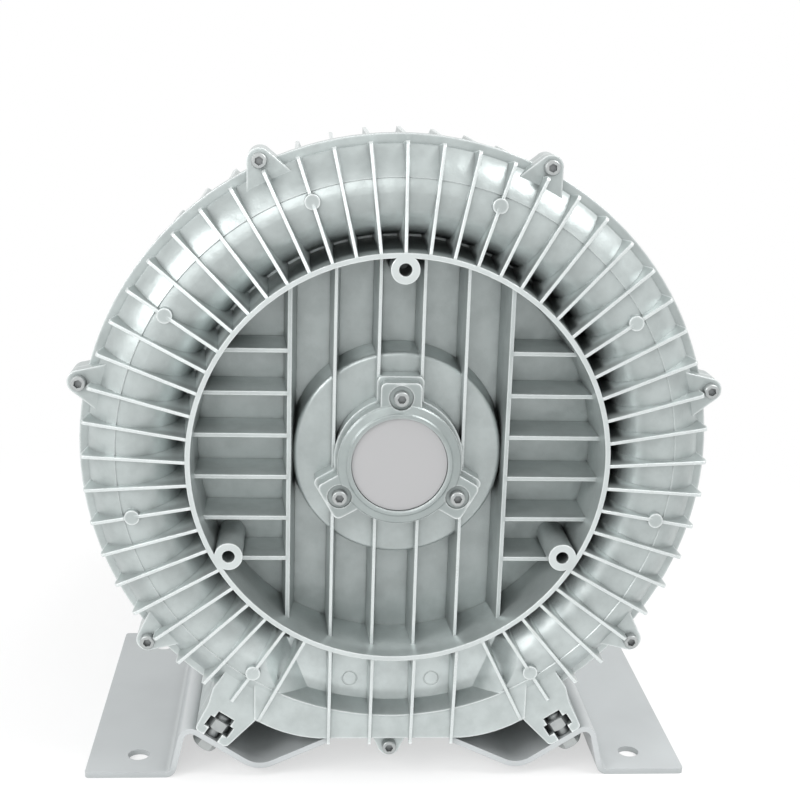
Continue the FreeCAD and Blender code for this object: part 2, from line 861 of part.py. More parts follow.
def port_flange_piece(side):
    """Square flange with a round threaded neck for the pipe."""
    at = (side * silencer_x, silencer_z)
    near = silencer_end_y + port_gasket
    sheet = plate(port_outline(side), near, near + port_flange)
    neck = rod(port_boss_r, near, near + port_length, at)
    holes = [rod(screw_r + screw_clear, 0, 999, hole) for hole in port_screw_places(side)]
    holes += [rod(screw_head_r + 0.8, near + port_flange, 999, hole)
              for hole in port_screw_places(side)]
    body = sheet.fuse(neck).cut(holes + [rod(port_r, 0, 999, at)])
    return body.removeSplitter()


def port_screws(side):
    """Screws through a port flange, heads to the rear."""
    screw = socket_screw(port_screw_length)
    head_y = silencer_end_y + port_gasket + port_flange
    return [placed(screw, V(x, head_y, z), -SHAFT) for x, z in port_screw_places(side)]


def silencer_sleeve(side):
    at = (side * silencer_x, silencer_z)
    outer = silencer_bore - sleeve_gap
    return ring(outer, outer - sleeve_wall, silencer_end_y - sleeve_length, silencer_end_y, at)


def impeller():
    """Disc wheel with a row of straight vanes on each side of its rim."""
    middle = (impeller_front + impeller_back) / 2
    half = impeller_web / 2
    inner = blade_root_r - 12
    section = [(0, hub_front_y), (impeller_hub_r, hub_front_y),
               (impeller_hub_r + 3, middle - half), (inner, middle - half),
               (inner + 2, impeller_front), (blade_root_r, impeller_front),
               ((blade_root_r + 14, middle - 8), (impeller_r, middle - 1.5)),
               (impeller_r, middle + 1.5),
               ((blade_root_r + 14, middle + 8), (blade_root_r, impeller_back)),
               (inner + 2, impeller_back), (inner, middle + half),
               (impeller_hub_r + 3, middle + half), (impeller_hub_r, hub_back_y),
               (0, hub_back_y)]
    wheel = turned(section)
    vane = box(-blade / 2, blade / 2, impeller_front, impeller_back, blade_root_r - 5,
               impeller_r + 2)
    vanes = around(vane, spread(blade_count))
    trim = rod(impeller_r, 0, 200)
    wheel = wheel.multiFuse(vanes).common(trim)
    vents = around(rod(vent_hole_r, 0, 200, (0, (impeller_hub_r + inner) / 2)),
                   spread(vent_holes))
    return wheel.cut([rod(seat_r + shaft_fit, 0, 200), key_space()] + vents).removeSplitter()


def key_space():
    """Keyway shared by the shaft and the impeller's hub."""
    middle = (hub_front_y + hub_back_y) / 2
    return box(-key_width / 2, key_width / 2, middle - key_length / 2, middle + key_length / 2,
               seat_r - key_height * 0.6, seat_r + key_height * 0.4)


def impeller_key():
    return key_space()


def shaft():
    """Stepped shaft from the front bearing to the fan."""
    front_end = front_bearing_y + front_bearing[2] + 6
    drive_end = drive_bearing_y + drive_bearing[2]
    rotor_end = stator_y + stator_length
    fan_y = fan_bearing_y()
    fan_shoulder = fan_y + fan_bearing[2] + 2
    section = [(0, shaft_front_y), (journal_front_r - 1, shaft_front_y),
               (journal_front_r, shaft_front_y + 1), (journal_front_r, front_end),
               (journal_front_r, seat_start_y), (seat_r, seat_start_y), (seat_r, hub_back_y),
               (drive_journal_r, hub_back_y), (drive_journal_r, drive_end),
               (drive_journal_r + 5, drive_end), (drive_journal_r + 5, drive_end + 10),
               (rotor_seat_r, drive_end + 12), (rotor_seat_r, rotor_end),
               (fan_journal_r + 3, rotor_end), (fan_journal_r + 3, fan_y),
               (fan_journal_r, fan_y), (fan_journal_r, fan_shoulder),
               (fan_seat_r, fan_shoulder), (fan_seat_r, shaft_rear_y() - 1),
               (fan_seat_r - 1, shaft_rear_y()), (0, shaft_rear_y())]
    flutes = ring(fan_seat_r + 1, fan_seat_r - 1, clip_y(), clip_y() + 1.3)
    return turned(section).cut([key_space(), flutes]).removeSplitter()


def frame_start():
    return flange_y


def frame_end():
    return flange_y + frame_length


def fan_bearing_y():
    return frame_end() + shield_thickness - fan_bearing[2]


def fan_hub_y():
    return fan_bearing_y() + fan_bearing[2] + 14


def clip_y():
    return fan_hub_y() + 22.0


def shaft_rear_y():
    return clip_y() + 5


def bearing_parts(size, near):
    """Outer ring, inner ring, and balls in their cage."""
    bore, outer, width, ball, count = size
    pitch = (bore + outer) / 2
    middle = near + width / 2
    groove = ball + ball_clear
    land = ball * 0.55
    far = near + width
    reach = math.sqrt(groove ** 2 - land ** 2)
    outer_ring = turned([(outer, near), (outer, far), (pitch + land, far),
                         (pitch + land, middle + reach),
                         ((pitch + groove, middle), (pitch + land, middle - reach)),
                         (pitch + land, near)])
    inner_ring = turned([(bore, near), (bore, far), (pitch - land, far),
                         (pitch - land, middle + reach),
                         ((pitch - groove, middle), (pitch - land, middle - reach)),
                         (pitch - land, near)])
    cage = ring(pitch + cage_wall / 2, pitch - cage_wall / 2, middle - ball - 1,
                middle + ball + 1)
    sphere = Part.makeSphere(ball, V(0, middle, pitch))
    return outer_ring, inner_ring, joined([cage] + around(sphere, spread(count)))


def lock_nut_piece():
    far = hub_front_y - lock_washer
    nut = ring(lock_nut_r, journal_front_r, far - lock_nut, far)
    slot = box(-2.5, 2.5, far - lock_nut - 1, far + 1, lock_nut_r - 2, lock_nut_r + 2)
    return nut.cut(around(slot, spread(4)))


def lock_washer_piece():
    near = hub_front_y - lock_washer
    return ring(lock_nut_r + 1.5, journal_front_r, near, hub_front_y)


def shaft_spacer():
    return ring(drive_journal_r + 5, drive_journal_r, hub_back_y, drive_bearing_y)


def front_seal():
    near = front_bearing_y + front_bearing[2] + 2
    return ring(seal_r(), journal_front_r + 0.3, near, near + 8)


def rear_seal():
    near = hub_back_y + casing_gap
    return ring(rear_seal_r(), drive_journal_r + 5.3, near, drive_bearing_y - 0.5)


def cap_seal():
    return ring(front_bearing[0] + 10, front_bearing[0] + 5, cap_back_y, front_bearing_y)


def motor_frame():
    """Round frame with cooling fins, front ears and a flat pad for the terminal box."""
    near, far = frame_start(), frame_end()
    tube = ring(frame_r, stator_r, near, far)
    fin_near, fin_far = near + frame_ear + screw_space, far - 4
    fins = []
    for angle in spread(frame_fins, 90.0 + 180.0 / frame_fins):
        if abs(angle % 360 - 90) > 28:
            upright = box(-frame_fin / 2, frame_fin / 2, fin_near, fin_far, frame_r - 2,
                          frame_fin_r)
            fins.append(turned_to(upright, angle))
    ears = motor_ears(near, near + frame_ear) + motor_ears(far - frame_ear, far)
    pad = box(-box_half_x + 8, box_half_x - 8, box_y - box_half_y + 8, box_y + box_half_y - 8,
              stator_r - 20, box_foot_z)
    body = tube.multiFuse(fins + ears + [pad])
    wire_hole = Part.makeCylinder(12, 60, V(0, box_y - 18, stator_r - 10), V(0, 0, 1))
    cuts = [rod(stator_r, near - 1, far + 1), wire_hole]
    cuts += around(rod(motor_screw_r + screw_clear, near - 1, near + frame_ear + 1,
                       (0, motor_screw_circle_r)), motor_angles())
    cuts += around(rod(motor_screw_r, far - frame_ear - 1, far + 1, (0, motor_screw_circle_r)),
                   motor_angles())
    return body.cut(cuts).removeSplitter()


def stator_core():
    return ring(stator_r, stator_bore, stator_y, stator_y + stator_length)


def windings():
    """Coil ends that stand out at both ends of the stator core."""
    inner, outer = stator_bore + 6, stator_r - 5
    ends = []
    for near, far in ((stator_y - winding_reach, stator_y),
                      (stator_y + stator_length, stator_y + stator_length + winding_reach)):
        round_r = 6.0
        ends.append(turned([(inner, near + round_r), (inner + round_r, near),
                            (outer - round_r, near), (outer, near + round_r), (outer, far - 2),
                            (outer - 2, far), (inner + 2, far), (inner, far - 2)]))
    return group(ends)


def rotor_core():
    radius = stator_bore - rotor_gap
    near, far = stator_y, stator_y + stator_length
    core = ring(radius, rotor_seat_r, near, far)
    end_ring = ring(radius - 1, radius - 14, near - 8, near)
    other = ring(radius - 1, radius - 14, far, far + 8)
    return joined([core, end_ring, other])


def end_shield():
    """Rear shield of the motor with its bearing seat."""
    near = frame_end()
    seat_y = fan_bearing_y()
    section = [(fan_bearing[1], seat_y), (fan_bearing[1], near + shield_thickness + 2),
               (fan_bearing[1] + 8, near + shield_thickness + 2),
               (fan_bearing[1] + 14, near + 6), (cowl_r - 0.5, near + 6), (cowl_r - 0.5, near),
               (stator_r - 0.1, near), (stator_r - 0.1, near - 5), (stator_r - 7, near - 5),
               (stator_r - 9, near), (fan_bearing[1] + 8, seat_y - 6),
               (fan_journal_r + 5, seat_y - 6), (fan_journal_r + 5, seat_y - 3.2),
               (fan_bearing[1], seat_y - 3.2)]
    shield = turned(section)
    ears = motor_ears(near, near + 6)
    holes = around(rod(motor_screw_r + screw_clear, near - 1, near + 7,
                       (0, motor_screw_circle_r)), motor_angles())
    return joined([shield] + ears).cut(holes).removeSplitter()


def preload_spring():
    """Wave spring between the shield and the rear bearing's outer ring."""
    seat_y = fan_bearing_y()
    return ring(fan_bearing[1] - 0.5, fan_bearing[1] - 5, seat_y - 3.2, seat_y)


def cooling_fan():
    """Fan with straight radial blades on a round hub plate."""
    near = fan_hub_y()
    hub = rod(fan_seat_r + 9, near, clip_y())
    disc = turned([(0, near), (fan_r - 10, near + 6), (fan_r, near + 6), (fan_r, near + 8),
                   (fan_r - 10, near + 8), (0, near + 3)])
    blade_plate = box(-1.2, 1.2, near + 4, near + 32, fan_seat_r + 5, fan_r)
    body = joined([hub, disc] + around(blade_plate, spread(fan_blades)))
    return body.cut(rod(fan_seat_r, near - 1, near + 99)).removeSplitter()


def fan_clip():
    clip = ring(fan_seat_r + 3, fan_seat_r - 1, clip_y(), clip_y() + 1.3)
    return clip.cut(box(-3, 3, 0, 999, 0, 99))


def cowl_start():
    return frame_end() + 2


def fan_cowl():
    """Sheet cowl with rows of round holes in its flat back."""
    near, far = cowl_start(), cowl_start() + cowl_length
    inner = cowl_r - 0.5
    outer = inner + cowl_wall
    section = [(inner, near), (outer, near), (outer, far - 14), (outer - 14, far), (0, far),
               (0, far - cowl_wall), (outer - 14.8, far - cowl_wall), (inner, far - 14.8)]
    shell = turned(section)
    holes = [rod(grille_hole_r, far - 9, far + 1)]
    for row, count in ((17, 6), (31, 12), (45, 16), (59, 22), (73, 28)):
        holes += around(rod(grille_hole_r, far - 9, far + 1, (0, row)), spread(count))
    screws = [side_hole(2.6, inner - 1, outer + 1, near + 3, angle) for angle in cowl_angles()]
    return shell.cut(holes + screws)


def cowl_angles():
    return spread(4, 0.0)


def side_hole(radius, inner, outer, y, angle):
    """Radial cylinder, for screws that point at the shaft."""
    x, z = polar(inner, angle)
    direction = V(math.cos(math.radians(angle)), 0, math.sin(math.radians(angle)))
    return Part.makeCylinder(radius, outer - inner, V(x, y, z), direction)


def cowl_screws():
    """Button head screws that hold the cowl to the rim of the end shield."""
    face = cowl_r - 0.5 + cowl_wall
    screws = []
    for angle in cowl_angles():
        x, z = polar(face, angle)
        inward = V(-math.cos(math.radians(angle)), 0, -math.sin(math.radians(angle)))
        head = turned([(0, -2.6), (2.4, -2.4), (4.2, 0), (0, 0)])
        screw = head.fuse(rod(2.5, -1, 2))
        screws.append(placed(screw, V(x, cowl_start() + 3, z), inward))
    return group(screws)


def box_shell():
    """Terminal box base, open at the top, with a hole for the gland."""
    low, high = box_foot_z, box_foot_z + box_height
    outer = upright(rounded(box_outline()), low, high)
    inner = upright(rounded(inset(box_outline(), box_wall)), low + box_wall, high + 1)
    posts = [Part.makeCylinder(5, box_height - box_wall, V(x, y, low + box_wall), V(0, 0, 1))
             for x, y in lid_screw_places()]
    shell = outer.cut(inner).multiFuse(posts).common(outer)
    holes = [Part.makeCylinder(2.5, 16, V(x, y, high - 15), V(0, 0, 1))
             for x, y in lid_screw_places()]
    holes.append(Part.makeCylinder(12, 20, V(0, box_y - 18, low - 10), V(0, 0, 1)))
    holes.append(Part.makeCylinder(gland_r, 20, V(box_half_x - 10, box_y, gland_z()),
                                   V(1, 0, 0)))
    return shell.cut(holes).removeSplitter()


def gland_z():
    return box_foot_z + box_height / 2 + 1


def upright(steps, low, high):
    """Solid between two heights from an outline in (x, y)."""
    face = Part.Face(outline(steps, lambda x, y: V(x, y, low)))
    return face.extrude(V(0, 0, high - low))


def inset(corners, gap):
    """The same rounded rectangle, smaller by a gap all round."""
    middle_x = sum(corner[0] for corner in corners) / 4
    middle_y = sum(corner[1] for corner in corners) / 4
    return [(x - math.copysign(gap, x - middle_x), y - math.copysign(gap, y - middle_y),
             max(radius - gap, 1)) for x, y, radius in corners]


def lid_screw_places():
    dx, dy = box_half_x - 8, box_half_y - 8
    return [(x, box_y + y) for x in (-dx, dx) for y in (-dy, dy)]


def box_outline():
    return [(x * box_half_x, box_y + y * box_half_y, box_corner_r)
            for x, y in ((-1, -1), (1, -1), (1, 1), (-1, 1))]


def lid_holes():
    low = box_foot_z + box_height
    return [Part.makeCylinder(2.8, 40, V(x, y, low - 1), V(0, 0, 1))
            for x, y in lid_screw_places()]


def box_gasket_piece():
    low = box_foot_z + box_height
    sheet = upright(rounded(box_outline()), low, low + box_gasket)
    middle = upright(rounded(inset(box_outline(), box_wall + 8)), low - 1, low + 3)
    return sheet.cut([middle] + lid_holes())


def box_lid():
    """Domed lid, hollow below."""
    low = box_foot_z + box_height + box_gasket
    outer = upright(rounded(box_outline()), low, low + lid_height)
    top = [edge for edge in outer.Edges
           if all(abs(v.Z - low - lid_height) < 0.01 for v in edge.Vertexes)]
    outer = outer.makeFillet(4, top)
    hollow = upright(rounded(inset(box_outline(), box_wall + 9)), low - 1,
                     low + lid_height - box_wall)
    seats = [Part.makeCylinder(5, 40, V(x, y, low + 7), V(0, 0, 1))
             for x, y in lid_screw_places()]
    return outer.cut([hollow] + lid_holes() + seats).removeSplitter()


def lid_screws():
    head_z = box_foot_z + box_height + box_gasket + 7
    screw = socket_screw(18, 2.5, 4.2, 4, 4)
    return group([placed(screw, V(x, y, head_z), V(0, 0, -1)) for x, y in lid_screw_places()])


def terminal_block():
    """Moulded block with six studs."""
    low = box_foot_z + box_wall
    body = box(-30, 30, box_y + 2, box_y + 36, low, low + 12)
    studs = [Part.makeCylinder(2.5, 10, V(x, box_y + y, low + 11), V(0, 0, 1))
             for x in (-18, 0, 18) for y in (10, 28)]
    return joined([body] + studs)


def cable_gland():
    """Screwed gland with two hexagons and an open bore."""
    flat = gland_r * 2 + 6
    base = hexagon(flat, 0, 6)
    cap = hexagon(flat - 2, 8, gland_reach - 6)
    neck = rod(gland_r, -box_wall - 4, gland_reach - 6)
    nose = taper(gland_r + 1, gland_r - 2, gland_reach - 6, gland_reach)
    body = joined([base, cap, neck, nose]).cut(rod(gland_bore_r, -20, gland_reach + 1))
    return placed(body.removeSplitter(), V(box_half_x, box_y, gland_z()), V(1, 0, 0))


def foot_line():
    """Middle line of the foot sheet on the right: (x, z, bend radius) from the middle out."""
    flat_z = foot_z + foot_thickness / 2
    tan = math.tan(leg_slope)
    sunk = foot_thickness / 2 / math.cos(leg_slope)
    seat_z = leg_z - sunk
    low_z = seat_z - (leg_x - valley_x) * tan
    top_z = seat_z + (bump_x - leg_x) * tan
    hump_z = low_z + (valley_x - hump_x) * math.tan(hump_slope)
    return [(hump_x, hump_z, bend_r), (valley_x, low_z, valley_bend_r), (bump_x, top_z, bend_r + 1),
            (bump_foot_x, flat_z, bend_r), (foot_width / 2, flat_z, 0)]


def strip(line, thickness):
    """Closed outline of a bent strip from its middle line with bend radii."""
    sides = ([], [])
    for i, (x, z, bend) in enumerate(line):
        here = V(x, 0, z)
        normals = []
        for a, b in ((i - 1, i), (i, i + 1)):
            if a >= 0 and b < len(line):
                run = V(line[b][0] - line[a][0], 0, line[b][1] - line[a][1]).normalize()
                normals.append(V(-run.z, 0, run.x))
        mean = sum(normals[1:], normals[0]).normalize()
        reach = thickness / 2 / mean.dot(normals[0])
        turn = normals[0].cross(normals[-1]).y
        for sign, steps in zip((1, -1), sides):
            radius = 0
            if bend and len(normals) == 2:
                radius = bend + sign * thickness / 2 * (1 if turn > 0 else -1)
            point = here + mean * (sign * reach)
            steps.append((point.x, point.z, radius))
    return rounded(sides[0] + sides[1][::-1])


def foot_plan():
    """Block over the whole sheet with rounded upright corners."""
    half = foot_width / 2
    return upright(rounded([(-half, foot_front, foot_corner_r), (half, foot_front, foot_corner_r),
                            (half, foot_rear, foot_corner_r), (-half, foot_rear, foot_corner_r)]),
                   foot_z - 1, 0)


def foot_sheet():
    """One sheet bent into two feet, two slopes for the legs and a raised middle."""
    right = foot_line()
    left = [(-x, z, bend) for x, z, bend in right[::-1]]
    sheet = plate(strip(left + right, foot_thickness), foot_front, foot_rear)
    notch = box(-notch_x, notch_x, foot_front - 1, notch_end_y, foot_z, 0)
    holes = []
    for x in (-foot_hole_x, foot_hole_x):
        for y in (foot_front + foot_hole_inset, foot_rear - foot_hole_inset):
            holes.append(Part.makeCylinder(foot_hole_r, 20, V(x, y, foot_z - 5), V(0, 0, 1)))
    for side in (-1, 1):
        for y in (front_bolt_y, rear_bolt_y):
            x, z = leg_point(side, 0, -20)
            holes.append(Part.makeCylinder(bolt_r + bolt_hole_clear, 40, V(x, y, z), leg_up(side)))
    return sheet.common(foot_plan()).cut([notch] + holes).removeSplitter()


def foot_bolt():
    """Hexagon bolt along +Y with the underside of its head at Y = 0."""
    head = hexagon(bolt_flats, -bolt_head, 0)
    rounding = turned([(0, -bolt_head), (bolt_flats / 2 - 0.5, -bolt_head),
                       (bolt_flats / 2 + 2, -bolt_head + 1.6), (bolt_flats / 2 + 2, 0), (0, 0)])
    length = foot_thickness + slot_lip + nut_height + bolt_spare
    shank = rod(bolt_r, -1, length - 1).fuse(taper(bolt_r, bolt_r - 1, length - 1, length))
    return head.common(rounding).fuse(shank).removeSplitter()


def foot_nut():
    """Hexagon nut along +Y, its lower face at Y = 0."""
    body = hexagon(bolt_flats, 0, nut_height)
    edge = bolt_flats / 2
    rounding = turned([(0, 0), (edge, 0), (edge + 2, 1.2), (edge + 2, nut_height - 1.2),
                       (edge, nut_height), (0, nut_height)])
    return body.common(rounding).cut(rod(bolt_r, -1, nut_height + 1))


def on_legs(piece, up, y):
    """The same fastener on both legs, a height along the bolt line."""
    pieces = []
    for side in (-1, 1):
        x, z = leg_point(side, 0, up)
        square = piece.copy()
        square.rotate(CENTRE, SHAFT, -side * math.degrees(leg_slope))
        pieces.append(placed(square, V(x, y, z), leg_up(side)))
    return group(pieces)


def lug_screw_length():
    return split_y - lug_face_y + lug_rear - 4


def build_casings():
    save("front_cover", front_cover())
    save("rear_casing", rear_casing())
    rim_screw = socket_screw(lug_screw_length())
    save("cover_screws", screws_at(rim_screw, lug_face_y, lug_circle_r, lug_angles))
    save("bearing_cap", bearing_cap())
    save("cap_disc", cap_disc())
    save("cap_seal", cap_seal())
    cap_screw = socket_screw(cap_screw_length)
    save("cap_screws", screws_at(cap_screw, cap_spot_y, cap_screw_circle_r, lobe_angles))


def build_ports():
    for name, side in (("inlet", -1), ("outlet", 1)):
        save(name + "_sleeve", silencer_sleeve(side))
        save(name + "_gasket", port_gasket_piece(side))
        save(name + "_flange", port_flange_piece(side))
    save("port_screws", group(port_screws(-1) + port_screws(1)))


def build_rotor():
    save("impeller", impeller())
    save("impeller_key", impeller_key())
    save("impeller_lock_nut", lock_nut_piece())
    save("impeller_lock_washer", lock_washer_piece())
    save("impeller_spacer", shaft_spacer())
    save("shaft", shaft())
    save("rotor_core", rotor_core())
    save("front_shaft_seal", front_seal())
    save("rear_shaft_seal", rear_seal())
    places = (("front", front_bearing, front_bearing_y), ("drive", drive_bearing, drive_bearing_y),
              ("fan", fan_bearing, fan_bearing_y()))
    for name, size, near in places:
        outer_ring, inner_ring, balls = bearing_parts(size, near)
        save(name + "_bearing_outer_ring", outer_ring)
        save(name + "_bearing_inner_ring", inner_ring)
        save(name + "_bearing_balls", balls)


def build_motor():
    save("motor_frame", motor_frame())
    flange_screw = socket_screw(24, motor_screw_r, 6.5, 8, 6)
    save("motor_screws", screws_at(flange_screw.mirror(CENTRE, SHAFT), frame_start() + frame_ear,
                                   motor_screw_circle_r, motor_angles()))
    save("stator_core", stator_core())
    save("windings", windings())
    save("end_shield", end_shield())
    shield_screw = socket_screw(17, motor_screw_r, 6.5, 8, 6)
    save("shield_screws", screws_at(shield_screw.mirror(CENTRE, SHAFT), frame_end() + 6,
                                    motor_screw_circle_r, motor_angles()))
    save("preload_spring", preload_spring())
    save("cooling_fan", cooling_fan())
    save("fan_clip", fan_clip())
    save("fan_cowl", fan_cowl())
    save("cowl_screws", cowl_screws())


def build_terminal_box():
    save("terminal_box", box_shell())
    save("terminal_box_gasket", box_gasket_piece())
    save("terminal_box_lid", box_lid())
    save("lid_screws", lid_screws())
    save("terminal_block", terminal_block())
    save("cable_gland", cable_gland())


def build_foot():
    save("foot_sheet", foot_sheet())
    for name, y in (("front", front_bolt_y), ("rear", rear_bolt_y)):
        save(name + "_foot_bolts", on_legs(foot_bolt(), -foot_thickness, y))
        save(name + "_foot_nuts", on_legs(foot_nut(), slot_lip, y))


os.makedirs("parts", exist_ok=True)
build_casings()
build_ports()
build_rotor()
build_motor()
build_terminal_box()
build_foot()
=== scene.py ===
# %% [markdown]
# # A side channel blower in its studio
# A side channel blower moves air with a wheel of short vanes that spins inside a ring shaped
# tunnel. The picture looks at its front cover: a ribbed bowl in the middle, a fat ring with cooling
# fins round it, a bearing cap with a round plate, and a bent sheet foot below.
# The solids come from the CAD model and stay as they are. This lesson gives them paint, metal,
# light and a camera, and every cell prints what it made.

# %% Load the solids
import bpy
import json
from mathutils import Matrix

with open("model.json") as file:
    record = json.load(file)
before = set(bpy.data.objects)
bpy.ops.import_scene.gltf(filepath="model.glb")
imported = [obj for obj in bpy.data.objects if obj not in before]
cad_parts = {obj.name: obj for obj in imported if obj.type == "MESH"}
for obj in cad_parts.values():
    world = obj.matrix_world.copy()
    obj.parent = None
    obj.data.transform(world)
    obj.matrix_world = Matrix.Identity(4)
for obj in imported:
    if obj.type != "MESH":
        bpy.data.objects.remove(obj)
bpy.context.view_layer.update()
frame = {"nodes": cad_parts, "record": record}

# %% Helpers from Blender and Python
import json
import math
import bpy
from mathutils import Vector

MM = 0.001  # the solids are in metres, and the sizes of grain and edges read better in millimetres
SHAFT_HEIGHT = 236 * MM
RING_FRONT = -131.5 * MM  # the front edge of the bowl's wall, along Y
RING_RADIUS = 140 * MM    # the outside of that wall

print("shaft", SHAFT_HEIGHT, "m above the floor, bowl's edge at y", RING_FRONT)

# %% [markdown]
# ## Writing shaders as sums
# A finish is easier to read as a formula than as a drawing of boxes and wires. Blender has no such
# formulas in Python, but a small class can lend them: a Wire holds one output socket, and adding or
# multiplying wires makes the Math node that does it. The reflected forms let `1 - mask` work too.
# Every other kind of node comes from one method, so there is one place that sets and links sockets.

# %% A wire that can be added and multiplied
class Wire:
    """An output socket of a finish, used as a number in a sum."""

    def __init__(self, finish, socket):
        self.finish, self.socket = finish, socket

    def math(self, operation, *values):
        return self.finish.node("Math", {"operation": operation}, dict(enumerate(values)))

    def __add__(self, other):
        return self.math("ADD", self, other)

    def __sub__(self, other):
        return self.math("SUBTRACT", self, other)

    def __rsub__(self, other):
        return self.math("SUBTRACT", other, self)

    def __mul__(self, other):
        return self.math("MULTIPLY", self, other)

    def __truediv__(self, other):
        return self.math("DIVIDE", self, other)

    def __rtruediv__(self, other):
        return self.math("DIVIDE", other, self)

    __radd__ = __add__
    __rmul__ = __mul__

    def larger(self, other):
        """The larger of two wires, which joins two masks."""
        return self.math("MAXIMUM", self, other)

    def step(self, start, end):
        """0 where the wire is at start, 1 where it is at end, and smooth between them."""
        sockets = {"Value": self, "From Min": start, "From Max": end}
        return self.finish.node("MapRange", {"interpolation_type": "SMOOTHSTEP"}, sockets)


print("wires add and multiply as numbers do")

# %% A finish, and the one method that makes nodes
class Finish:
    """A material with one Principled shader. Constants go straight on its sockets."""

    def __init__(self, name, **constants):
        self.material = bpy.data.materials.new(name)
        self.material.use_nodes = True
        self.tree = self.material.node_tree
        self.shader = self.tree.nodes["Principled BSDF"]
        self.vary(**constants)
        self.place = self.node("TexCoord", out="Object")

    def feed(self, socket, value):
        if isinstance(value, Wire):
            self.tree.links.new(value.socket, socket)
        else:
            socket.default_value = value

    def node(self, kind, settings=None, sockets=None, out=0):
        """Any node: its type, its settings, then values or wires for its sockets."""
        made = self.tree.nodes.new("ShaderNode" + kind)
        for name, value in (settings or {}).items():
            setattr(made, name, value)
        for name, value in (sockets or {}).items():
            self.feed(made.inputs[name], value)
        return Wire(self, made.outputs[out])

    def vary(self, **inputs):
        """Feeds the shader: a wire where something changes over the surface, else a value."""
        for name, value in inputs.items():
            self.feed(self.shader.inputs[name.replace("_", " ")], value)
        return self


print("finishes make their own nodes")

# %% [markdown]
# ## Small words for surfaces
# Most finishes here share a few ingredients. The first are cloudy noise of a given grain size, a
# mix of two colours, a bump and softened edges. Real castings have no sharp edges, so the shader
# rounds them by a millimetre with a Bevel node.

# %% Noise, mix, bump and edges
EDGE_SAMPLES = 4


def noise(finish, grain, detail=2.0, roughness=0.5):
    """Cloudy noise whose spots are about grain metres across."""
    sockets = {"Vector": finish.place, "Scale": 1 / grain, "Detail": detail, "Roughness": roughness}
    return finish.node("TexNoise", None, sockets)


def mixed(finish, factor, first, second):
    """The first colour where the factor is 0, the second where it is 1."""
    return finish.node("Mix", {"data_type": "RGBA"}, {0: factor, 6: first, 7: second}, out=2)


def bumped(finish, height, depth, normal=None):
    """The height, from 0 to 1, as relief of depth metres on top of another normal."""
    sockets = {"Height": height, "Distance": depth, "Strength": 1.0}
    if normal:
        sockets["Normal"] = normal
    return finish.node("Bump", None, sockets)


def soft_edges(finish, radius):
    """The surface's direction with each edge rounded by that radius."""
    return finish.node("Bevel", {"samples": EDGE_SAMPLES}, {"Radius": radius})


print("four ingredients ready")

# %% [markdown]
# ## Masks and measures
# Two masks say where a surface is proud and where it is hidden. They come from Ambient Occlusion,
# once looking out of the metal and once looking into it: the feet of ribs stand out in the first,
# and thin fins and corners in the second.
# Two measures say where a point lies: along an axis, and how far from the shaft. A mask often grows
# over a span of such a measure, and the span is written as two ends in millimetres.

# %% Where a surface is hidden, proud or near
MASK_SAMPLES = 6


def hidden(finish, reach):
    """1 deep in a corner, 0 in the open."""
    settings = {"samples": MASK_SAMPLES}
    return 1 - finish.node("AmbientOcclusion", settings, {"Distance": reach}, out="AO")


def proud(finish, reach):
    """1 on thin fins and outer corners, 0 on thick flat walls."""
    settings = {"samples": MASK_SAMPLES, "inside": True}
    return 1 - finish.node("AmbientOcclusion", settings, {"Distance": reach}, out="AO")


def along(finish, axis):
    """The place along one axis, in metres."""
    sockets = {0: finish.place, 1: axis}
    return finish.node("VectorMath", {"operation": "DOT_PRODUCT"}, sockets, out="Value")


def from_shaft(finish):
    """The distance from the shaft's axis, in metres."""
    above = {0: finish.place, 1: (0, 0, SHAFT_HEIGHT)}
    offset = finish.node("VectorMath", {"operation": "SUBTRACT"}, above)
    flat = finish.node("VectorMath", {"operation": "MULTIPLY"}, {0: offset, 1: (1, 0, 1)})
    return finish.node("VectorMath", {"operation": "LENGTH"}, {0: flat}, out="Value")


def span(start, end, origin=0.0):
    """The two ends of a step, given in millimetres from an origin."""
    return origin + start * MM, origin + end * MM


ACROSS, INWARDS, UPWARDS = (1, 0, 0), (0, 1, 0), (0, 0, 1)
print("two masks and two measures ready")

# %% [markdown]
# ## Painted light and shade on the cover
# The ring's flank is painted lighter than the paint's own grey, as painted light, more so towards
# the top and a little to the left, and the legs get some of it too. The gap right behind the bowl's
# wall is painted dark as painted shade. On the left that wall gets less painted shade and is as
# light as the rest, and the flank there less painted light. The recessed plate below the bowl gets
# a middling share of painted light.
# Each of these zones is a product of steps, which is easy to shift and needs no painted picture.

# %% The painted light and shade
WALL_SHADE_GREY = (0.115, 0.13, 0.128, 1)
PAINTED_LIGHT_GREY = (0.90, 0.965, 0.96, 1)

BRIGHT_SIDE = (-0.3, 0, 0.95)               # the side towards which the painted light comes nearest the wall
BRIGHT_SPAN = span(-60, 150, SHAFT_HEIGHT)  # that way: where the painted light keeps back, then where it comes nearer
LEFT_SPAN = span(-125, -50)              # across: where the left side's lighter wall and dimmer flank hold, then not
BRIGHT_GAIN, LEFT_GAIN = 5.5 * MM, 7 * MM   # how much nearer to the wall the painted light starts there
LEFT_DIMMER = 0.45                      # the share of painted light that the left flank lacks

# outwards from the bowl's wall: where each zone starts or ends
WALL_START, WALL_END = span(-1, 0.2), span(8, 12)
FLANK_START, FLANK_END = span(8, 13), span(15, 27)
PLATE_END = span(32, 37)

# heights against the shaft's, then depths behind the bowl's front edge
LEGS_TOP, PLATE_TOP = span(-140, -90, SHAFT_HEIGHT), span(-142, -126, SHAFT_HEIGHT)
PAINTED_NEAR, PAINTED_FAR = span(6, 14, RING_FRONT), span(50, 60, RING_FRONT)
LEGS_SHARE, PLATE_SHARE = 0.12, 0.36


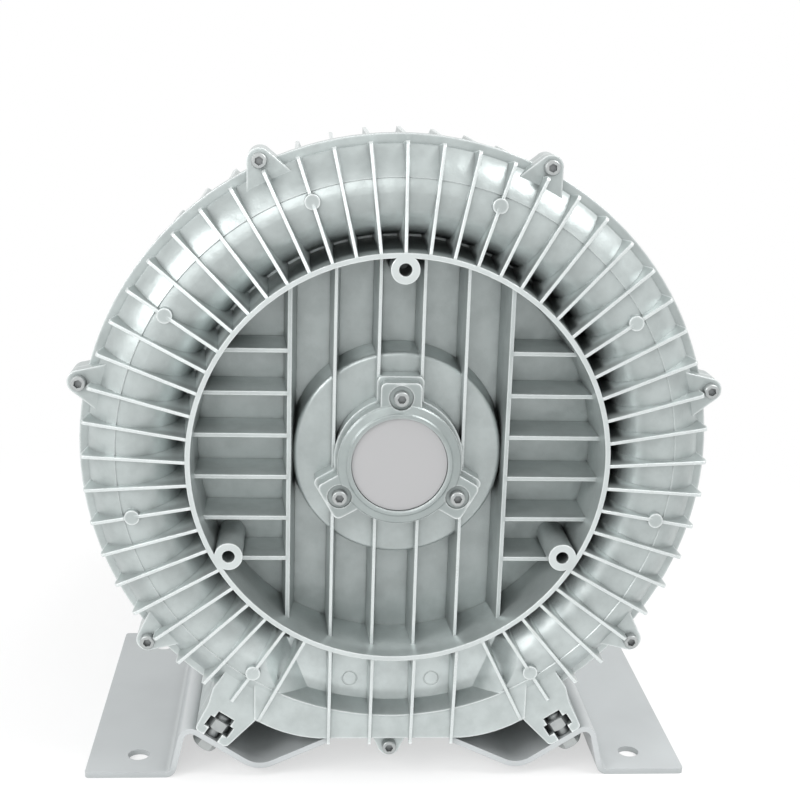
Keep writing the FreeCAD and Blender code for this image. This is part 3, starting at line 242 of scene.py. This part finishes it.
def painted_light_and_shade(finish, base):
    """The base colour with painted light on the flank and the legs and painted shade behind the
    wall.
    """
    left = 1 - along(finish, ACROSS).step(*LEFT_SPAN)
    height = along(finish, UPWARDS)
    depth = along(finish, INWARDS)
    beyond = from_shaft(finish) - RING_RADIUS
    lit_reach = beyond + along(finish, BRIGHT_SIDE).step(*BRIGHT_SPAN) * BRIGHT_GAIN + left * LEFT_GAIN

    legs = (1 - height.step(*LEGS_TOP)) * beyond.step(*FLANK_END)
    above_plate = height.step(*PLATE_TOP)
    plate = (1 - above_plate) * (1 - beyond.step(*PLATE_END))
    flank = lit_reach.step(*FLANK_START) * (1 - beyond.step(*FLANK_END)) * (1 - left * LEFT_DIMMER)
    wall = beyond.step(*WALL_START) * (1 - lit_reach.step(*WALL_END))
    painted_depths = depth.step(*PAINTED_NEAR) * (1 - depth.step(*PAINTED_FAR))

    # painted light on the legs, the flank and the plate, then painted shade on the wall behind the
    # bowl
    base = mixed(finish, legs * LEGS_SHARE, base, PAINTED_LIGHT_GREY)
    full = (flank * above_plate + plate * PLATE_SHARE) * painted_depths
    base = mixed(finish, full, base, PAINTED_LIGHT_GREY)
    return mixed(finish, wall * painted_depths, base, WALL_SHADE_GREY)


# the painted shade behind the wall fades out from here, where the painted light begins
print("thin coat up to", WALL_END[0] / MM, "mm past the wall, then the full one")

# %% [markdown]
# ## Painted castings
# The cover and the casing are sand cast aluminium under a thin coat of silver grey paint. The paint
# holds fine metal flakes, so it mirrors the room softly. Its grain is a tight orange peel, and a
# slower swell under it makes the highlights on the ring wander. Corners are darkened as painted
# shade, and the deepest gaps are painted almost black as painted shade, less so on the left. The
# tips of ribs and fins are lightened, partly as wear and partly as a painted highlight, and a
# little of that shows on the faces that were skimmed on a lathe.
# The bearing cap is painted darker, and the motor and the terminal box have the plain paint.

# %% Silver grey casting paint
OPEN_GREY = (0.435, 0.477, 0.472, 1)
CAP_GREY = (0.320, 0.358, 0.353, 1)
# next three colours: painted shade in corners, painted shade in the deepest gaps, worn edges with a
# painted highlight
CORNER_SHADE_AND_CLOUD_GREY = (0.16, 0.178, 0.176, 1)
DEEP_SHADE_BLACK = (0.035, 0.039, 0.038, 1)
RUBBED_AND_HIGHLIGHT_GREY = (0.89, 0.93, 0.925, 1)

CLOUD_SHARE = 0.22
SKIMMED_SPAN = span(0.3, 1.0, RING_FRONT)
SHELTER_SPAN, SHELTER_LEAST = span(-130, 20), 0.3


def casting_paint(name, open_grey=OPEN_GREY, edge=0.8 * MM, coat=None, skimmed=0.0):
    """Paint on a casting: clouded, painted shade in corners and gaps, rubbed and highlit where
    proud.
    """
    finish = Finish(name, Metallic=0.55, Coat_Weight=0.15, Coat_Roughness=0.2)
    swell = noise(finish, 12 * MM, detail=1.0)
    peel = noise(finish, 1.6 * MM, detail=3.0)
    clouds = noise(finish, 20 * MM, detail=5.0, roughness=0.6).step(0.35, 0.7)
    # painted shade: corners are darkened
    corners = hidden(finish, 5 * MM).step(0.3, 0.85)
    # worn tips and edges, partly a painted highlight
    rubbed_and_highlit = proud(finish, 2.2 * MM).step(0.2, 0.65)
    # painted shade: the deepest gaps go almost black, less so on the left
    sheltered = along(finish, ACROSS).step(*SHELTER_SPAN) * (1 - SHELTER_LEAST) + SHELTER_LEAST
    deep = hidden(finish, 18 * MM).step(0.86, 0.99) * sheltered
    if skimmed:
        front = 1 - along(finish, INWARDS).step(*SKIMMED_SPAN)
        rubbed_and_highlit = rubbed_and_highlit.larger(front * skimmed)

    base = mixed(finish, corners, open_grey, CORNER_SHADE_AND_CLOUD_GREY)
    # the cover's painted light and shade zones go in here
    if coat:
        base = coat(finish, base)
    base = mixed(finish, clouds * CLOUD_SHARE, base, CORNER_SHADE_AND_CLOUD_GREY)
    base = mixed(finish, rubbed_and_highlit, base, RUBBED_AND_HIGHLIGHT_GREY)
    base = mixed(finish, deep, base, DEEP_SHADE_BLACK)
    normal = bumped(finish, swell, 0.5 * MM, soft_edges(finish, edge))
    normal = bumped(finish, peel, 0.09 * MM, normal)
    return finish.vary(Base_Color=base, Roughness=0.28 + peel * 0.14, Normal=normal)


cast_finish = casting_paint("cast_silver_grey", coat=painted_light_and_shade, skimmed=0.25)
cap_finish = casting_paint("cap_silver_grey", CAP_GREY)
box_finish = casting_paint("box_silver_grey")
motor_finish = casting_paint("motor_silver_grey", edge=0.5 * MM)
print("castings:", cast_finish.material.name, cap_finish.material.name,
      box_finish.material.name, motor_finish.material.name)

# %% [markdown]
# ## The plain plate on the cap
# The round plate in the middle is flat, satin and a little warmer than the paint. A turned grain
# too fine to count keeps it from looking like paper: noise that is read along the distance from the
# shaft makes faint rings.

# %% Satin plate
PLATE_GREY = (0.37, 0.37, 0.375, 1)


def turned_grain(finish, pitch):
    """Fine rings round the shaft: noise read along the distance from it."""
    sockets = {"W": from_shaft(finish), "Scale": 1 / pitch, "Detail": 2.0}
    return finish.node("TexNoise", {"noise_dimensions": "1D"}, sockets)


def satin_plate(name):
    """A flat plate with faint turned rings."""
    finish = Finish(name, Metallic=0.15, Base_Color=PLATE_GREY)
    rings = turned_grain(finish, 0.5 * MM)
    normal = bumped(finish, rings, 0.004 * MM, soft_edges(finish, 0.4 * MM))
    return finish.vary(Roughness=0.48 + rings * 0.06, Normal=normal)


plate_finish = satin_plate("cap_satin_plate")
print("plate:", plate_finish.material.name)

# %% [markdown]
# ## Zinc plated screws
# The screws are steel with a thin skin of zinc, which is more of a mirror than the paint and a
# little blue in places. Their heads carry fine marks, and the sockets are dark because light hardly
# reaches in. Threads aren't drawn, as the little that shows of them in the legs' slots is in deep
# shade.

# %% Zinc
ZINC, BLUE_ZINC = (0.42, 0.44, 0.436, 1), (0.35, 0.37, 0.374, 1)
SHADED_ZINC = (0.14, 0.145, 0.15, 1)


def zinc_plate(name):
    """Plated steel with a blue film in places and fine marks."""
    finish = Finish(name, Metallic=0.75)
    marks = noise(finish, 0.7 * MM, detail=3.0)
    film = noise(finish, 5 * MM).step(0.4, 0.7)
    base = mixed(finish, film * 0.5, ZINC, BLUE_ZINC)
    base = mixed(finish, hidden(finish, 5 * MM), base, SHADED_ZINC)
    normal = bumped(finish, marks, 0.02 * MM, soft_edges(finish, 0.35 * MM))
    return finish.vary(Base_Color=base, Roughness=0.36 + marks * 0.16, Normal=normal)


zinc_finish = zinc_plate("zinc_plated")
print("screws:", zinc_finish.material.name)

# %% [markdown]
# ## The painted foot and the fan's cowl
# The foot is a folded steel sheet with the same grey as a smooth satin coat. It has no casting
# grain, only a very fine peel, and the folds catch the light as long soft bands. Its edges are cut,
# not cast, so they are rounded by less than half a millimetre. The cowl over the fan is drawn from
# sheet as well and painted a shade lighter.

# %% Sheet paint
FOOT_GREY = (0.495, 0.520, 0.527, 1)
COWL_GREY = (0.56, 0.59, 0.585, 1)


def darkened(colour, share):
    """The colour with its red, green and blue scaled."""
    return tuple(share * part for part in colour[:3]) + (1,)


def sheet_paint(name, grey, roughness):
    """Satin paint on sheet, a little darker in large soft patches, and painted shade in the folds.
    """
    finish = Finish(name, Metallic=0.3, Coat_Weight=0.2, Coat_Roughness=0.25)
    peel = noise(finish, 2.5 * MM)
    clouds = noise(finish, 70 * MM, detail=3.0).step(0.4, 0.75)
    base = mixed(finish, clouds * 0.35, grey, darkened(grey, 0.82))
    # painted shade in the folds and corners
    base = mixed(finish, hidden(finish, 12 * MM) * 0.6, base, CORNER_SHADE_AND_CLOUD_GREY)
    normal = bumped(finish, peel, 0.03 * MM, soft_edges(finish, 0.45 * MM))
    return finish.vary(Base_Color=base, Roughness=roughness + peel * 0.08, Normal=normal)


foot_finish = sheet_paint("foot_satin_grey", FOOT_GREY, 0.34)
cowl_finish = sheet_paint("cowl_grey", COWL_GREY, 0.36)
print("sheet finishes:", foot_finish.material.name, cowl_finish.material.name)

# %% [markdown]
# ## The running parts inside
# The wheel, the shaft and the bearings can't be seen in the picture, but they can be taken out and
# looked at. The wheel is a casting turned on its faces, the shaft is ground, and the bearings are
# polished. Rings round the shaft tell all of them, coarse on the wheel and almost nothing on the
# bearings.

# %% Bare metals
WHEEL_METAL, SHAFT_METAL = (0.70, 0.71, 0.71, 1), (0.56, 0.57, 0.58, 1)
BEARING_METAL, ROTOR_METAL = (0.72, 0.72, 0.73, 1), (0.46, 0.47, 0.48, 1)


def bare_metal(name, tint, pitch, depth, roughness, edge=0.3 * MM):
    """Turned or ground metal: rings of that pitch and depth, a few stains and painted shade in
    recesses.
    """
    finish = Finish(name, Metallic=1.0)
    rings = turned_grain(finish, pitch)
    stain = noise(finish, 20 * MM, detail=3.0).step(0.4, 0.8)
    stain_and_shade = darkened(tint, 0.8)
    base = mixed(finish, stain * 0.5, tint, stain_and_shade)
    # painted shade in recesses, in the same colour as the stains
    base = mixed(finish, hidden(finish, 6 * MM) * 0.6, base, stain_and_shade)
    normal = bumped(finish, rings, depth, soft_edges(finish, edge))
    return finish.vary(Base_Color=base, Roughness=roughness + rings * 0.1, Normal=normal)


wheel_finish = bare_metal("wheel_turned_casting", WHEEL_METAL, pitch=0.8 * MM, depth=0.02 * MM,
                          roughness=0.34, edge=0.5 * MM)
shaft_finish = bare_metal("shaft_ground", SHAFT_METAL, pitch=0.25 * MM, depth=0.004 * MM,
                          roughness=0.22)
bearing_finish = bare_metal("bearing_polished", BEARING_METAL, pitch=0.2 * MM, depth=0.002 * MM,
                            roughness=0.12, edge=0.2 * MM)
rotor_finish = bare_metal("rotor_turned", ROTOR_METAL, pitch=0.4 * MM, depth=0.01 * MM,
                          roughness=0.35)
print("bare metals:", wheel_finish.material.name, shaft_finish.material.name,
      bearing_finish.material.name, rotor_finish.material.name)

# %% [markdown]
# ## Iron sheets and copper coils
# The motor's iron is a stack of sheets, which shows as fine lines across the shaft. The coils are
# varnished copper wire. Their strands run round the shaft, so their ridges follow the place along
# it and a slanting direction across it together.

# %% Laminations and windings
IRON, RUST = (0.17, 0.17, 0.18, 1), (0.20, 0.14, 0.11, 1)
COPPER, VARNISH = (0.62, 0.30, 0.15, 1), (0.40, 0.16, 0.07, 1)
SLANTING = (0.7, 0, 0.7)


def layers(finish, axis, thickness):
    """A ridge from 0 to 0.5 for each layer of that thickness along the axis."""
    position = along(finish, axis) / thickness
    return position.math("PINGPONG", position, 0.5)


def laminated(name):
    """A stack of iron sheets with a little rust."""
    finish = Finish(name, Metallic=0.7)
    sheets = layers(finish, INWARDS, 1.0 * MM)
    rust = noise(finish, 9 * MM, detail=4.0)
    base = mixed(finish, rust.step(0.5, 0.8) * 0.6, IRON, RUST)
    normal = bumped(finish, sheets, 0.25 * MM)
    return finish.vary(Base_Color=base, Roughness=0.45 + rust * 0.2, Normal=normal)


def wound_copper(name):
    """Varnished wire whose strands run two ways."""
    finish = Finish(name, Metallic=0.85, Coat_Weight=0.5, Coat_Roughness=0.12)
    strands = layers(finish, INWARDS, 1.1 * MM) + layers(finish, SLANTING, 1.3 * MM) * 0.6
    varnish = noise(finish, 6 * MM)
    base = mixed(finish, varnish.step(0.35, 0.75), COPPER, VARNISH)
    normal = bumped(finish, strands, 0.4 * MM)
    return finish.vary(Base_Color=base, Roughness=0.3 + varnish * 0.15, Normal=normal)


iron_finish = laminated("iron_sheets")
copper_finish = wound_copper("copper_coils")
print("motor inside:", iron_finish.material.name, copper_finish.material.name)

# %% [markdown]
# ## Rubber and plastic
# Seals are black rubber with a dull bloom. The fan is black plastic, the terminal block is a brown
# pressed resin, and the cable gland is dark grey nylon. What sets them apart is gloss and grain
# more than colour.

# %% Moulded finishes
RUBBER, RUBBER_BLOOM = (0.030, 0.030, 0.031, 1), (0.075, 0.075, 0.075, 1)
FAN_BLACK, FAN_DUST = (0.028, 0.029, 0.031, 1), (0.06, 0.06, 0.062, 1)
RESIN, RESIN_DUST = (0.085, 0.055, 0.038, 1), (0.11, 0.08, 0.06, 1)
NYLON, NYLON_DUST = (0.115, 0.118, 0.122, 1), (0.16, 0.16, 0.162, 1)


def moulded(name, tint, bloom, roughness, grain, depth):
    """A dull or glossy skin with a fine grain, and dust or bloom in large soft patches."""
    finish = Finish(name)
    texture = noise(finish, grain, detail=3.0)
    dust = noise(finish, 25 * MM, detail=3.0).step(0.45, 0.8)
    base = mixed(finish, dust * 0.5, tint, bloom)
    normal = bumped(finish, texture, depth, soft_edges(finish, 0.4 * MM))
    return finish.vary(Base_Color=base, Roughness=roughness + texture * 0.15, Normal=normal)


rubber_finish = moulded("seal_rubber", RUBBER, RUBBER_BLOOM, 0.62, 1.2 * MM, 0.03 * MM)
fan_finish = moulded("fan_plastic", FAN_BLACK, FAN_DUST, 0.38, 0.9 * MM, 0.02 * MM)
block_finish = moulded("terminal_resin", RESIN, RESIN_DUST, 0.28, 2 * MM, 0.02 * MM)
gland_finish = moulded("gland_nylon", NYLON, NYLON_DUST, 0.42, 0.8 * MM, 0.02 * MM)
print("moulded:", rubber_finish.material.name, fan_finish.material.name,
      block_finish.material.name, gland_finish.material.name)

# %% [markdown]
# ## Foam in the silencers
# The two silencer sleeves are grey foam with open cells. A Voronoi texture has one round pit for
# each cell, so it gives both the dark middles, which are painted shade, and the relief.

# %% Open foam
CELL_GREY, SKIN_GREY = (0.10, 0.10, 0.10, 1), (0.30, 0.30, 0.29, 1)


def open_foam(name):
    """Foam with painted shade in a pit for each cell."""
    finish = Finish(name, Sheen_Weight=0.3)
    sockets = {"Vector": finish.place, "Scale": 1 / (1.6 * MM)}
    cells = finish.node("TexVoronoi", None, sockets, out="Distance")
    # the dark middles of the pits are painted shade
    base = mixed(finish, cells.step(0.1, 0.5), CELL_GREY, SKIN_GREY)
    normal = bumped(finish, cells, 0.8 * MM)
    return finish.vary(Base_Color=base, Roughness=0.95 - cells * 0.1, Normal=normal)


foam_finish = open_foam("silencer_foam")
print("foam:", foam_finish.material.name)

# %% [markdown]
# ## Dressing the solids
# The CAD record says which slot each solid takes its finish from. One table from slot to finish
# dresses all of them, and a solid that comes later with a known slot is dressed as well.

# %% Every solid gets its finish
finish_of_slot = {
    "cast_aluminium": cast_finish,
    "cap_casting": cap_finish,
    "cap_plate": plate_finish,
    "zinc_steel": zinc_finish,
    "foot_paint": foot_finish,
    "impeller_aluminium": wheel_finish,
    "ground_steel": shaft_finish,
    "bearing_steel": bearing_finish,
    "laminations": iron_finish,
    "rotor_aluminium": rotor_finish,
    "copper": copper_finish,
    "seal_rubber": rubber_finish,
    "motor_aluminium": motor_finish,
    "cowl_paint": cowl_finish,
    "fan_plastic": fan_finish,
    "box_paint": box_finish,
    "terminal_plastic": block_finish,
    "gland_plastic": gland_finish,
    "sleeve_foam": foam_finish,
}

for subpart in frame["record"]["subparts"]:
    solid = frame["nodes"][subpart["node"]]
    solid.data.materials.clear()
    solid.data.materials.append(finish_of_slot[subpart["material_slot"]].material)

# %% [markdown]
# ## A white floor that keeps the shadow
# The picture has a plain white ground. Bright lamps would bleach the paint, so the white comes from
# the materials: near the machine the floor is a plain pale surface that shows its shadow, and
# further out it fades into a white glow that only the camera and the reflections see.

# %% Floor
FLOOR_REACH = 6.0
FLOOR_WHITE = (0.93, 0.93, 0.93, 1)
GLOW_SPAN, GLOW_LEAST = (0.30, 0.8), 0.55  # metres from the middle, and the glow's share there
WHITE = (1, 1, 1, 1)

floor_mesh = bpy.data.meshes.new("floor")
signs = ((-1, -1), (1, -1), (1, 1), (-1, 1))
corners = [(x * FLOOR_REACH, y * FLOOR_REACH, 0) for x, y in signs]
floor_mesh.from_pydata(corners, [], [(0, 1, 2, 3)])
floor = bpy.data.objects.new("floor", floor_mesh)
bpy.context.scene.collection.objects.link(floor)
print("floor", 2 * FLOOR_REACH, "m wide")

# %% The floor's white
def seen_white(finish):
    """1 for rays that come from the camera, a mirror or a lens."""
    from_camera = finish.node("LightPath", out="Is Camera Ray")
    from_mirror = finish.node("LightPath", out="Is Glossy Ray")
    from_lens = finish.node("LightPath", out="Is Transmission Ray")
    return from_camera.larger(from_mirror).larger(from_lens)


floor_finish = Finish("floor_white", Base_Color=FLOOR_WHITE, Roughness=0.9)
distance = floor_finish.node("VectorMath", {"operation": "LENGTH"}, {0: floor_finish.place},
                             out="Value")
glow = floor_finish.node("Emission", None, {"Color": WHITE, "Strength": 1.0})
plain = Wire(floor_finish, floor_finish.shader.outputs[0])
share = distance.step(*GLOW_SPAN) * (1 - GLOW_LEAST) + GLOW_LEAST
sockets = {0: share * seen_white(floor_finish), 1: plain, 2: glow}
surface = floor_finish.node("MixShader", None, sockets)
floor_finish.feed(floor_finish.tree.nodes["Material Output"].inputs["Surface"], surface)
floor_mesh.materials.append(floor_finish.material)
print("floor white from", GLOW_SPAN[1], "m out")

# %% [markdown]
# ## The room
# The world is the same trick on a larger scale. What the camera and the mirrors see of it is pure
# white, and as a lamp it is a little weaker, so that pale paint doesn't clip.

# %% The room's light
DIFFUSE_ROOM = 0.84  # how bright the room is as a lamp


class Room(Finish):
    """The world's own nodes, made by the same method."""

    def __init__(self, name):
        self.world = bpy.data.worlds.new(name)
        self.world.use_nodes = True
        self.tree = self.world.node_tree
        self.background = self.tree.nodes["Background"]


room = Room("studio_room")
room.feed(room.background.inputs["Color"], WHITE)
strength = seen_white(room) * (1 - DIFFUSE_ROOM) + DIFFUSE_ROOM
room.feed(room.background.inputs["Strength"], strength)
bpy.context.scene.world = room.world
print("room seen white, lights at", DIFFUSE_ROOM)

# %% [markdown]
# ## Three soft boxes
# The highlights in the picture tell where the light comes from: a broad bright band on the upper
# left of the ring, a hard white rim on the upper right, and soft shade under everything. So a key
# box stands well out to the left, a larger one hangs high on the right, and a weak one near the
# camera fills the front.

# %% Lamps
LAMP_AIM = Vector((0, -0.05, 0.24))


def soft_box(name, place, size, power):
    """A rectangular lamp that looks at the middle of the machine."""
    lamp = bpy.data.lights.new(name, "AREA")
    lamp.shape, lamp.size, lamp.size_y = "RECTANGLE", size[0], size[1]
    lamp.energy = power
    holder = bpy.data.objects.new(name, lamp)
    holder.location = place
    holder.rotation_euler = (LAMP_AIM - Vector(place)).to_track_quat("-Z", "Y").to_euler()
    bpy.context.scene.collection.objects.link(holder)
    return holder


boxes = [
    soft_box("key_box", place=(-1.2, -0.9, 0.93), size=(0.7, 0.7), power=10.6),
    soft_box("rim_box", place=(0.96, -0.24, 1.51), size=(1.0, 0.7), power=15.6),
    soft_box("front_box", place=(-0.4, -1.49, 0.93), size=(0.7, 0.7), power=5.2),
]
print(len(boxes), "soft boxes hung")

# %% [markdown]
# ## The camera
# The photograph was taken from a little above and to the left of the shaft, from about a metre
# away. The ring, the bosses and the foot holes fix that place: their true distances are known, so
# the camera can be worked out from where they land in the picture. The lens is a short telephoto.

# %% Camera
CAMERA_PLACE = (-0.06466, -0.98420, 0.50438)
CAMERA_TURN = (75.3014, -1.7123, -3.8125)  # degrees about X, Y and Z

view_camera = bpy.data.cameras.new("picture_camera")
view_camera.lens = 61.384
view_camera.sensor_width = 36.0
view_camera.clip_start = 0.05
camera = bpy.data.objects.new("picture_camera", view_camera)
camera.location = CAMERA_PLACE
camera.rotation_euler = [math.radians(angle) for angle in CAMERA_TURN]
bpy.context.scene.collection.objects.link(camera)
bpy.context.scene.camera = camera
bpy.context.scene.view_settings.view_transform = "Standard"
shaft_end = Vector((0, 0, SHAFT_HEIGHT))
print("camera", round((camera.location - shaft_end).length, 3), "m from the shaft")
